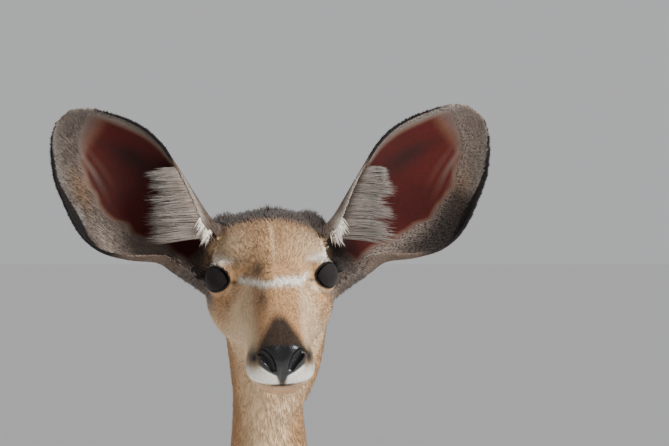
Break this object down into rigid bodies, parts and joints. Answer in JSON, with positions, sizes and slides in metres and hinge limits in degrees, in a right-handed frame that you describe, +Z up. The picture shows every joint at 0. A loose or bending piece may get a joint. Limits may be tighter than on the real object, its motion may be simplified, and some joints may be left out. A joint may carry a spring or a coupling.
{
  "type": "antelope model",
  "caption": "Life-size greater kudu cow standing alert, head high and facing forward, large cupped ears spread wide, short mane along the neck",
  "frame": {"origin": "on the floor, under the middle of the model's box", "axes": "Z up; the animal faces -Y and its left side is at +X"},
  "size_m": [0.5194, 1.6486, 1.7495],
  "materials": {
    "coat": "short matt hair",
    "shank": "short matt hair",
    "ear": "short matt hair over thin skin",
    "eye": "wet gloss",
    "claw": "satin horn"
  },
  "bodies": {
    "root": {"head": "coat", "neck": "coat", "torso": "coat", "tail": "coat", "ear_left": "ear", "ear_right": "ear", "eye_left": "eye", "eye_right": "eye", "leg_front_left": "coat", "shank_front_left": "shank", "claw_front_left_outer": "claw", "claw_front_left_inner": "claw", "leg_front_right": "coat", "shank_front_right": "shank", "claw_front_right_outer": "claw", "claw_front_right_inner": "claw", "leg_hind_left": "coat", "shank_hind_left": "shank", "claw_hind_left_outer": "claw", "claw_hind_left_inner": "claw", "leg_hind_right": "coat", "shank_hind_right": "shank", "claw_hind_right_outer": "claw", "claw_hind_right_inner": "claw"}
  },
  "joints": []
}
